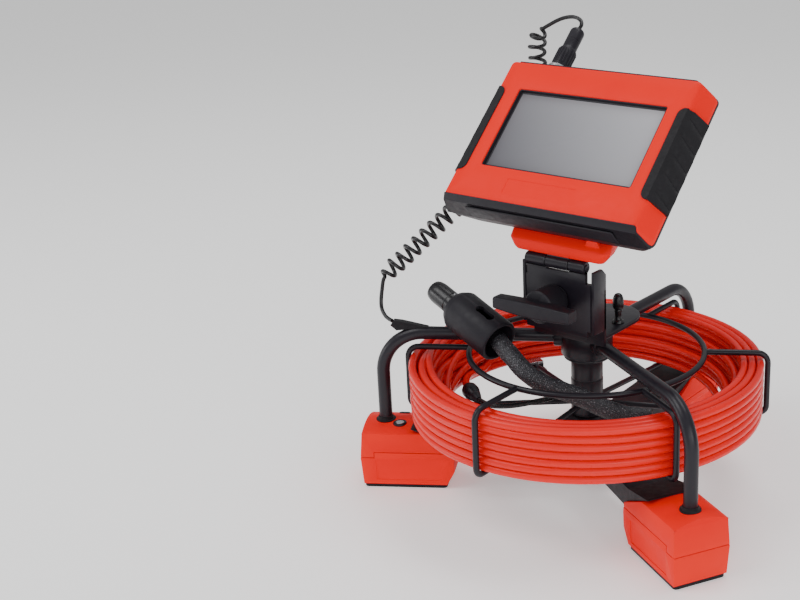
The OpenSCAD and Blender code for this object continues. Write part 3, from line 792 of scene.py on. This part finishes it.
def housing_ring(depth, half_w, top, bottom, radius):
    """The housing's outline at a depth behind the face."""
    return rounded(half_w, (top - bottom) / 2, radius, 8, (0, (top + bottom) / 2)), depth


def face_loft(name, rings, loop=False):
    """A skin through outlines across the face, each with its depth."""
    return loft(name, [[on_face((x, d, z)) for x, z in outline] for outline, d in rings], loop=loop)


def make_monitor_frame():
    """The red front frame: a crease round the face, flared flanks and a stepped window."""
    rings = [
        housing_ring(20, 83.4, 57, -58.4, 4), housing_ring(20, 86.6, 60.7, -61.6, 4.8),
        housing_ring(19.6, 87, MON_TOP, -62, 5), housing_ring(17.2, 87, MON_TOP, -62, 5),
        housing_ring(16.4, 86.8, MON_TOP, -62, 4.9), housing_ring(4, 81.8, MON_TOP, -61.4, 4),
        housing_ring(1.6, 80.6, 60.8, -59.4, 3.6), housing_ring(0.6, 79.8, 60.3, -58.5, 3.2),
        housing_ring(0, 78.6, 59.4, -57.6, 2.8),
        window_ring(1.6, 0, 2.4), window_ring(1.1, 0.15, 2.1), window_ring(0.8, 0.6, 1.9),
        window_ring(0.8, 1.6, 1.9), window_ring(3, 1.7, 3), housing_ring(6, 74, 50, -54, 4),
    ]
    label = prism("label", rounded(29, 6.2, 1.2, 4, (-4, -44.6)), -1, 0.28, into_face)
    mesh = carve(face_loft("frame_red", rings, loop=True), label)
    piece("monitor_frame_red", mesh, RED, "monitor", ["monitor_frame"], 32)
    inner = [window_ring(0.85, 1.2, 1.9), window_ring(0.2, 1.5, 1.6), window_ring(-0.2, 3.3, 1.2),
             window_ring(-1.6, 3.4, 0.6), window_ring(-1.6, 3.7, 0.6), window_ring(2.6, 3.7, 3)]
    border = face_loft("border", inner, loop=True)
    piece("window_border", border, BLACK_FINE, "monitor", (), 40)


def make_screen():
    rim = rounded(WIN_W / 2 + 1, WIN_H / 2 + 1, 1, 4, (WIN_X, WIN_Z))
    glass = bevelled(prism("glass", rim, 3.5, 4.9, into_face), 0.2, 2)
    piece("screen_pane", glass, SCREEN, "monitor", ["screen_glass"])


def make_monitor_back():
    rings = [
        housing_ring(20.15, 84, 58, -58.4, 4), housing_ring(20.15, 86.4, 61.5, -61.8, 5),
        housing_ring(20.5, 86.9, 62, -62.1, 5.2), housing_ring(22, 86.9, 62, -62.1, 5.2),
        housing_ring(23.5, 85.6, 61.2, -61.7, 5.4), housing_ring(36.5, 75.6, 54.6, -56.9, 6),
        housing_ring(39, 73.2, 52.8, -55.8, 6), housing_ring(40, 71, 50.8, -54.2, 5.6),
    ]
    mesh = face_loft("back", rings)
    for k in range(9):
        x = -32 + 8 * k
        mesh = carve(mesh, prism("vent", rounded(1.3, 11, 1.29, 4, (x, 24)), 38.9, 42, into_face))
    piece("monitor_back_shell", mesh, BLACK, "monitor", ["monitor_back"], 32)
    screw = [(0.01, -0.2), (1.1, -0.2), (1.3, 1.9), (1.6, 2.6), (2.9, 2.6), (3, 2.9), (2.4, 3.5),
             (1.2, 3.6), (1.1, 3.0), (0.01, 2.9)]
    back = on_face((0, 1, 0)) - FACE
    studs = [turned("stud", screw, axis_place(on_face((x, 37.6, z)), back), 24)
             for x in (-60, 60) for z in (-40, 40)]
    piece("back_screw_heads", joined("studs", studs), STEEL, "monitor", ["back_screws"])


def grip_point(side, u, v, lift):
    """A point on the grip's outer skin: u from the face (0) over the crease (1) down the flank (2)."""
    if u < 1:
        x, depth, normal = 73 + 7.2 * u, -0.0, Vector((0, -1, 0))
    else:
        s = u - 1
        x, depth = 80.2 + 6.9 * s, 0.6 + 17 * s
        normal = Vector((0.925, -0.38, 0))
    turn = ease((u - 0.85) / 0.3)
    normal = Vector((0, -1, 0)).lerp(normal, turn).normalized() if 0.85 < u < 1.15 else normal
    return Vector((side * (x + normal.x * lift), depth + normal.y * lift, v))


def make_grip(side, node):
    """A rubber grip: a smooth band on the face and five chunky ribs down the flank."""
    half, rows, cols = 37.5, 120, 26
    rib = 15.0
    rings = []
    for j in range(rows + 1):
        v = -half + 2 * half * j / rows
        edge = half - abs(v)
        corner = 6.5
        cut_in = corner - math.sqrt(max(corner ** 2 - (corner - min(edge, corner)) ** 2, 0))
        rise = min(1.0, edge / 0.9)
        rise = math.sqrt(max(0.0, 1 - (1 - rise) ** 2))
        ring, under = [], []
        for i in range(cols + 1):
            u0 = min(cut_in / 7.2, 0.9)
            u = u0 + (2.06 - u0) * i / cols
            flank = ease((u - 1.05) / 0.2)
            slant = v + 5 * (u - 1.5)
            phase = (slant / rib) % 1.0
            bulge = 1 - abs(2 * phase - 1) ** 2.6
            lip = min(1.0, (u - u0) / 0.11)
            lip = math.sqrt(max(0.0, 1 - (1 - lip) ** 2))
            lift = 0.75 + flank * (2.1 * bulge - 0.4)
            ring.append(grip_point(side, u, v, -0.4 + (lift + 0.4) * rise * lip))
            under.append(grip_point(side, u, v, -0.5))
        rings.append([on_face(p) for p in ring] + [on_face(p) for p in reversed(under)])
    mesh = loft("grip", rings)
    piece(node + "_rubber", mesh, RUBBER, "monitor", [node], 50)


def make_strip():
    """The black moulding along the foot of the face, with a raised panel below, and the top rail."""
    side_view = [(-0.2, -57.4), (-0.4, -58), (3.4, -62), (19.9, -63), (19.9, -57.4)]
    mesh = prism("strip", side_view, -95, 95, lambda a, b, c: on_face((c, a, b)))
    plan = [(-79.2, -3), (79.2, -3), (80.6, 3.4), (86.4, 21), (-86.4, 21), (-80.6, 3.4)]
    mesh = bevelled(carve(mesh, prism("ends", plan, -80, -40, on_plan), "INTERSECT"), 0.9, 3)
    piece("monitor_strip_moulding", mesh, BLACK, "monitor", ["monitor_strip"], 35)
    panel = prism("panel", rounded(62, 6.6, 1.5, 4, (0, 12.6)), -63.6, -62.4, on_plan)
    piece("strip_panel", bevelled(panel, 0.35, 2), BLACK, "monitor", (), 35)
    rail = prism("rail", rounded(76, 8.8, 2, 4, (0, 10.9)), 60.6, 62.3, on_plan)
    hole = turned("hole", [(0.01, -9), (8.6, -9), (8.6, 9), (0.01, 9)], plug_place(), 40)
    piece("top_rail", bevelled(carve(rail, hole), 0.4, 2), BLACK, "monitor", (), 35)


def level(half_w, front, back, radius, z):
    """A rounded outline at height z, narrowing towards the back."""
    outline = rounded(half_w, (back - front) / 2, radius, 6, (0, (back + front) / 2))
    return [Vector((x * (1 - 0.29 * max(0.0, y + 34) / 38), y, z)) for x, y in outline]


def make_shoe():
    """The red cradle below the monitor: a front lip with a chamfered band, a wedge behind, and a tab."""
    rings = [
        level(35.6, -35.4, -13, 3, 190.8), level(37.2, -37.0, -11.4, 4.2, 191.4),
        level(39.2, -38.2, -9.5, 5.4, 193.2), level(41, -38.5, -7, 6, 196),
        level(42.8, -38.5, -4, 6, 199.2), level(43, -38.2, -3.4, 6, 199.8),
        level(43.6, -34.6, 1, 6.4, 205.2), level(43.6, -34, 1.6, 6.4, 205.7),
        level(43.2, -33, 3, 6, 208.4), level(43, -30.8, 4, 5.6, 210.4), level(42, -16, 4, 4, 224.5),
        level(42, -1, 4, 1.6, 240.5),
    ]
    mesh = carve(loft("shoe", rings), block("leaf_slot", (-9.7, -36.6, 180), (9.7, -33.4, 200.2)))
    piece("shoe_cradle", mesh, RED, "monitor", ["shoe"], 28)
    tab = [(23.5, 203), (35.5, 203), (31.5, 211.8), (26.5, 211.8)]
    tab_mesh = prism("tab", tab, -37.2, -33.8, lambda a, b, c: Vector((a, c, b)))
    piece("shoe_tab", bevelled(tab_mesh, 0.7, 3), RED, "monitor")


def make_plug():
    """The round plug on the monitor's upper edge: bright seat ring, fluted ring and straight body."""
    place = plug_place()
    body = [(0.01, -4), (5.9, -4), (5.9, 1), (7.4, 1.6), (8, 2.2), (8, 4.8), (7.6, 5.4), (6.8, 5.8),
            (6.7, 6.8), (6.9, 7.4), (6.9, 20.8), (6.6, 21.8), (5.9, 22.6), (5.6, 24), (5.6, 30),
            (5.35, 30.3), (5.35, 31), (5.6, 31.3), (5.6, 38.6), (5.2, 40), (4.2, 41.2), (2.6, 42.1),
            (1.55, 42.5), (0.01, 42.5)]
    piece("plug_body", turned("plug", body, place, 48), BLACK_FINE, "monitor", ["plug"], 30)
    seat = [(5.9, 2.2), (8.1, 2.2), (8.4, 2.6), (8.4, 4.4), (8.1, 4.9), (5.9, 4.9)]
    piece("plug_seat_ring", turned("seat", seat, place, 48), STEEL, "monitor", (), 30)
    flutes = []
    for k in range(20):
        a = 2 * math.pi * k / 20
        spot = place(Vector((6.9 * math.cos(a), 6.9 * math.sin(a), 8)))
        top = place(Vector((6.9 * math.cos(a), 6.9 * math.sin(a), 20.4)))
        flutes.append(tube("flute", [spot.lerp(top, t / 4) for t in range(5)], 0.5, 8))
    piece("plug_flutes", joined("flutes", flutes), BLACK_FINE, "monitor", (), 60)


make_monitor_frame()
make_screen()
make_monitor_back()
make_grip(-1, "grip_left")
make_grip(1, "grip_right")
make_strip()
make_shoe()
make_plug()


# ---------------------------------------------------------------- bracket, knob, plate, collar

def make_bracket():
    """Channel, carrier plate with a rolled top edge, and the leaf between its knuckles."""
    web = block("web", (-31, -24, 124.5), (31, -21, 168))
    flanges = []
    for side in (-1, 1):
        outline = [(-21, 137), (-37, 137), (-37, 184), (-26, 184), (-21, 179)]
        flange = prism("flange", outline, side * 29.75 - 1.25, side * 29.75 + 1.25,
                       lambda a, b, c: Vector((c, a, b)))
        flanges.append(bevelled(flange, 0.5, 2))
    piece("channel_steel", joined("channel", [bevelled(web, 0.5, 2)] + flanges), COAT, "stand",
          ["channel"], 30)
    plate = block("plate", (-28, -37, 134), (28, -33.5, 183))
    hole = block("gap", (-9.9, -40, 180.7), (9.9, -30, 192))
    plate = bevelled(carve(plate, hole), 0.5, 2)
    for low, high in (((23.5, -40, 174.5), (30, -30, 190)), ((-30, -40, 174.5), (-26.5, -30, 180)),
                      ((25, -40, 130), (30, -30, 139))):
        plate = carve(plate, block("notch", low, high))
    across = Vector((1, 0, 0))
    rolls = []
    for low, high in ((-27.5, -10), (10, 23.5)):
        reach = high - low
        roll = [(2.6, 0.0), (4.0, 0.0), (4.5, 0.5), (4.5, reach - 0.5), (4.0, reach), (2.6, reach)]
        rolls.append(turned("roll", roll, axis_place(Vector((low, -35, 186)), across), 40))
        rolls.append(block("neck", (low, -37, 181.5), (high, -33.5, 186)))
    piece("carrier_steel", joined("carrier", [plate] + rolls), COAT, "stand",
          ["carrier_plate"], 30)
    barrel = [(2.6, 0), (4.1, 0), (4.5, 0.4), (4.5, 18.8), (4.1, 19.2), (2.6, 19.2)]
    knuckle = turned("knuckle", barrel, axis_place(Vector((-9.6, -35, 186)), across), 40)
    leaf = bevelled(block("leaf", (-9.6, -36.4, 186), (9.6, -33.6, 200)), 0.4, 2)
    piece("leaf_steel", joined("leaf_all", [knuckle, leaf]), COAT, "monitor",
          ["hinge_leaf"], 30)


def make_knob():
    """The T-bar: a flat bar with soft edges, bowed along its underside, on a round boss."""
    steps = 24
    rings = []
    for k in range(steps + 1):
        x = -32 + 64 * k / steps
        share = abs(x) / 32
        top, low = 165.5 - 0.8 * share ** 2, 154.5 + 1.6 * share ** 2
        section = rounded(6 - 0.5 * share, (top - low) / 2, 1.7, 4, (-66, (top + low) / 2))
        rings.append([Vector((x, y, z)) for y, z in section])
    ends = []
    for ring, x in ((rings[0], -32.6), (rings[-1], 32.6)):
        middle = sum(ring, Vector()) / len(ring)
        ends.append([middle + (p - middle) * 0.9 + Vector((x - middle.x, 0, 0)) for p in ring])
    bar = loft("bar", [ends[0]] + rings + [ends[1]])
    place = axis_place(Vector((0, -62, 160)), Vector((0, 1, 0)))
    boss = turned("boss", [(0.01, 0), (11, 0), (12, 1.2), (12, 19), (11.6, 20.2), (10.6, 21.4), (9.8, 23.6),
                           (0.01, 23.6)], place, 64)
    piece("knob_t_bar", bar, BLACK, "clamp_knob", ["knob_bar"], 40)
    piece("knob_boss", boss, BLACK, "clamp_knob", (), 32)


def make_plate():
    """The tongue-shaped plate, bevelled, with the parking peg on it."""
    arc = [(24 * math.cos(a), 30 + 24 * math.sin(a)) for a in (math.pi * k / 48 for k in range(49))]
    outline = [(-24, -20), (-23, -21), (23, -21), (24, -20)] + arc
    plate = prism("plate", outline, 124.5, 128, lambda a, b, c: Vector((a, b, c)))
    piece("tongue_plate", bevelled(plate, 0.7, 3), COAT, "stand", ["top_plate"], 30)
    place = axis_place(Vector((16.5, 17.5, 124.4)), Vector((0, 0, 1)))
    peg = [(0.01, 3.6), (4.6, 3.6), (4.8, 4.2), (4.4, 5.2), (3.4, 5.6), (2.7, 6.8), (2.5, 9), (2.5, 11.8),
           (3.1, 13), (3.2, 13.6), (2.9, 14.2), (3.6, 15), (4.2, 16.4), (4.3, 20), (3.9, 23), (3.1, 25.2),
           (1.9, 26.3), (0.01, 26.7)]
    piece("parking_peg_turned", turned("peg", peg, place, 40), CORD, "stand",
          ["parking_peg"], 40)


def make_collar():
    """The collar that holds the three tubes: rolled bead below, three sockets on its side."""
    place = axis_place(Vector((0, 0, 103)), Vector((0, 0, 1)))
    profile = [(12.2, 0.3), (15.6, 0), (17, 0.3), (17.4, 1.2), (17.0, 2.0), (17.2, 2.6), (18.8, 3.4),
               (19.5, 4.6), (19.5, 20.6), (19.1, 21.3), (18.4, 21.5), (8.2, 21.5)]
    parts = [turned("collar", profile, place, 72)]
    socket = [(0.01, 0), (6.6, 0), (6.6, 9.4), (6.2, 10.4), (5.1, 10.8), (0.01, 10.8)]
    for n in range(3):
        out = spoke(math.radians(LEG_ANGLE + 120 * n))
        parts.append(turned("socket", socket, axis_place(out * 14 + Vector((0, 0, 118)), out), 40))
    piece("collar_turned", joined("collar_all", parts), COAT, "stand", ["collar"], 32)


# ---------------------------------------------------------------- legs and feet

def leg_place(n):
    """Turns a point drawn along +X into one along leg n."""
    a = math.radians(LEG_ANGLE + 120 * n)
    c, s = math.cos(a), math.sin(a)
    return lambda x, y, z: Vector((x * c - y * s, x * s + y * c, z))


def make_leg(n):
    """One bent tube, from the collar out and down into its foot."""
    put = leg_place(n)
    flat = [put(17 + 106 * k / 20, 0, 119.5) for k in range(20)]
    bend = [put(123 + 32 * math.sin(a), 0, 87.5 + 32 * math.cos(a))
            for a in (math.pi / 2 * k / 24 for k in range(25))]
    down = [put(155, 0, 87.5 - 44 * k / 10) for k in range(1, 11)]
    mesh = tube("leg", flat + bend + down, 5, 28)
    piece(f"leg_tube_{n + 1}_bent", mesh, COAT, "stand", [f"leg_tube_{n + 1}"], 60)


def make_grommets():
    profile = [(5.0, 0), (7.4, 0), (7.6, 0.5), (7.4, 1.2), (6.3, 1.6), (5.9, 2.4), (5.7, 3.4), (5.3, 3.7),
               (4.9, 3.7)]
    parts = [turned("grommet", profile, axis_place(leg_place(n)(155, 0, 47.8), Vector((0, 0, 1))), 40)
             for n in range(3)]
    piece("tube_grommet_rings", joined("grommets", parts), RUBBER, "stand",
          ["tube_grommets"], 40)


def crown_outline():
    """A foot's end outline: widest at the parting line, with a crowned top."""
    hw, arch = FOOT_HW, []
    for k in range(13):
        y = (hw - 1) * (1 - k / 6)
        arch.append((y, FOOT_H + FOOT_CROWN * (1 - (y / (hw - 1)) ** 2)))
    return [(-hw + 1, SOLE), (hw - 1, SOLE), (hw, FOOT_SEAM)] + arch + [(-hw, FOOT_SEAM)]


def make_foot(n):
    """Two shells with a stepped parting line and a blank recessed panel on each flank."""
    put = leg_place(n)
    r0, r1, hw = FOOT_R0, FOOT_R1, FOOT_HW
    side = [(r0, SOLE), (r1, SOLE), (r1 + 1.5, FOOT_SEAM), (r1, FOOT_H), (r1, 60), (SLOPE_R1, 60),
            (SLOPE_R1, FOOT_H + FOOT_CROWN), (SLOPE_R0, SLOPE_Z0), (SLOPE_R0, 14)]
    end = prism("end", crown_outline(), 80, 190, lambda a, b, c: put(c, a, b))
    whole = carve(end, prism("side", side, -40, 40, lambda a, b, c: put(a, c, b)), "INTERSECT")
    step_x, step_z, gap = r1 - 9, FOOT_SEAM + 4.4, 0.22
    low_zone = [(60, 0), (200, 0), (200, FOOT_SEAM - gap), (step_x - gap, FOOT_SEAM - gap),
                (step_x - gap, step_z - gap), (60, step_z - gap)]
    high_zone = [(60, step_z + gap), (step_x + gap, step_z + gap), (step_x + gap, FOOT_SEAM + gap),
                 (200, FOOT_SEAM + gap), (200, 90), (60, 90)]
    for zone, which in ((low_zone, "lower"), (high_zone, "upper")):
        cut = prism("zone", zone, -50, 50, lambda a, b, c: put(a, c, b))
        shell = carve(whole.copy(), cut, "INTERSECT")
        if which == "lower":
            for flank in (-1, 1):
                panel = rounded((r1 - r0 - 14) / 2, 8.8, 1.2, 3, ((r0 + r1 - 6) / 2, 15.4))
                shell = carve(shell, prism("panel", panel, -0.6, 3, lambda a, b, c, flank=flank: put(
                    a, flank * (hw - 1 + (b - SOLE) / (FOOT_SEAM - SOLE) + c), b)))
        shell = bevelled(shell, 0.5 if which == "upper" else 0.35, 2, 24, "MITER_SHARP")
        node = f"foot_{which}_{n + 1}"
        piece(node + "_shell", shell, RED, "stand", [node], 28)
    bpy.data.meshes.remove(whole)


def make_soles():
    half = (FOOT_R1 - FOOT_R0) / 2 - 0.3
    outline = rounded(half, FOOT_HW - 1.7, 3, 5, ((FOOT_R0 + FOOT_R1) / 2, 0))
    parts = [bevelled(prism("sole", outline, 0, SOLE + 0.3, leg_place(n)), 0.6, 2) for n in range(3)]
    piece("foot_sole_pads", joined("soles", parts), RUBBER, "stand", ["foot_soles"], 35)


def make_foot_controls():
    """The round button with its dark surround, the rubber cap and a trim, on the left-hand foot."""
    put = leg_place(2)
    up = Vector((0, 0, 1))
    ring = axis_place(put(*BUTTON_AT, 46.6), up)
    bezel = [(3.6, 0), (5.2, 0), (5.4, 1.0), (5.0, 2.1), (4.2, 2.5), (3.6, 2.2)]
    piece("button_surround", turned("surround", bezel, ring, 40), BLACK_FINE, "stand",
          (), 40)
    press = axis_place(put(*BUTTON_AT, 41.6), up)
    button = [(0.01, 0), (3.4, 0), (3.4, 6.9), (3.1, 7.3), (2.4, 7.5), (0.01, 7.3)]
    piece("button_press", turned("press", button, press, 40), STEEL, "power_button",
          ["power_button"], 30)
    rear = put(0, -1, 0) - put(0, 0, 0)
    cap = axis_place(put(CAP_AT[0], -FOOT_HW + 4, CAP_AT[1]), rear)
    rubber_cap = [(0.01, 0), (4.95, 0), (4.95, 3.9), (5.4, 4.1), (5.3, 4.6), (4.6, 5.0), (0.01, 5.0)]
    piece("socket_cap_rubber", turned("cap", rubber_cap, cap, 48), RUBBER, "stand",
          ["socket_cap"], 40)
    trim = prism("trim", rounded(4.2, 1.7, 1.69, 6, TRIM_AT), 44.6, 47.2, put)
    piece("foot_trim", bevelled(trim, 0.3, 2), BLACK_FINE, "stand", (), 35)


make_bracket()
make_knob()
make_plate()
make_collar()
for leg in range(3):
    make_leg(leg)
    make_foot(leg)
make_grommets()
make_soles()
make_foot_controls()


# ---------------------------------------------------------------- reel wires

def make_reel_wires():
    """The wire ring and the six wires that cage the coil, welded to it."""
    ring_r, wire_r, sides = 88, 2.25, 14
    outer, top_bend, low_bend, low, high = 135.35, 8, 6, 60, 108.3
    rings = []
    for k in range(120):
        out = spoke(2 * math.pi * k / 120)
        middle = out * ring_r + Vector((0, 0, high))
        rings.append([middle + wire_r * (math.cos(a) * out + Vector((0, 0, math.sin(a))))
                      for a in (2 * math.pi * j / sides for j in range(sides))])
    piece("reel_ring_wire", loft("ring", rings, loop=True), COAT, "reel", ["reel_ring"], 60)
    wires = []
    for k in range(6):
        out = spoke(math.radians(30 + 60 * k))
        line = [(ring_r, high), (100, high), (112, high), (outer - top_bend, high)]
        line += [(outer - top_bend + top_bend * math.sin(t), high - top_bend + top_bend * math.cos(t))
                 for t in (math.pi / 2 * j / 8 for j in range(1, 9))]
        line += [(outer, z) for z in (92, 84, 76)]
        line += [(outer - low_bend + low_bend * math.cos(t), low + low_bend - low_bend * math.sin(t))
                 for t in (math.pi / 2 * j / 8 for j in range(9))]
        line += [(118, low), (112, low), (108, low), (90, 61.17), (60, 63.12), (30, 65.07), (9, 66.43)]
        wires.append(tube("wire", [out * r + Vector((0, 0, z)) for r, z in line], wire_r, sides))
    piece("reel_bracket_wires", joined("wires", wires), COAT, "reel", ["reel_brackets"],
          60)


make_reel_wires()


# ---------------------------------------------------------------- CAD nodes kept as they are

def dress(node, material, round_mm=0.0):
    """A CAD node with its finish, and its sharp edges rounded by a modifier."""
    obj = nodes[node]
    obj.data.materials.clear()
    obj.data.materials.append(material)
    if round_mm:
        weld = obj.modifiers.new("weld", "WELD")
        weld.merge_threshold = 0.00001
        mod = obj.modifiers.new("round", "BEVEL")
        mod.width, mod.segments = round_mm * MM, 3
        mod.limit_method, mod.angle_limit = "ANGLE", math.radians(35)
        mod.harden_normals = True


for name, finish, slot_name, round_mm in (
        ("base_hub", BLACK, "black_plastic", 0.8), ("hub_cover", BLACK, "black_plastic", 0.5),
        ("slip_ring", STEEL, "steel", 0), ("core_post", STEEL, "steel", 0),
        ("reel_washers", BLACK_FINE, "black_plastic", 0), ("upper_column", COAT, "black_coat", 0.4),
        ("base_arms", BLACK, "black_plastic", 0.8), ("battery_cells", STEEL, "steel", 0),
        ("spoke_clamp", BLACK, "black_plastic", 0.8), ("clamp_saddle", STEEL, "steel", 0.4),
        ("power_board", BLACK_FINE, "board", 0), ("main_board", BLACK_FINE, "board", 0),
        ("display_panel", BLACK_FINE, "black_plastic", 0), ("hinge_pin", COAT, "black_coat", 0.3),
        ("knob_stud", STEEL, "steel", 0.3), ("reel_sleeve", COAT, "black_coat", 0.4),
        ("cord_grommet", RUBBER, "black_rubber", 0.6)):
    dress(name, finish, round_mm)
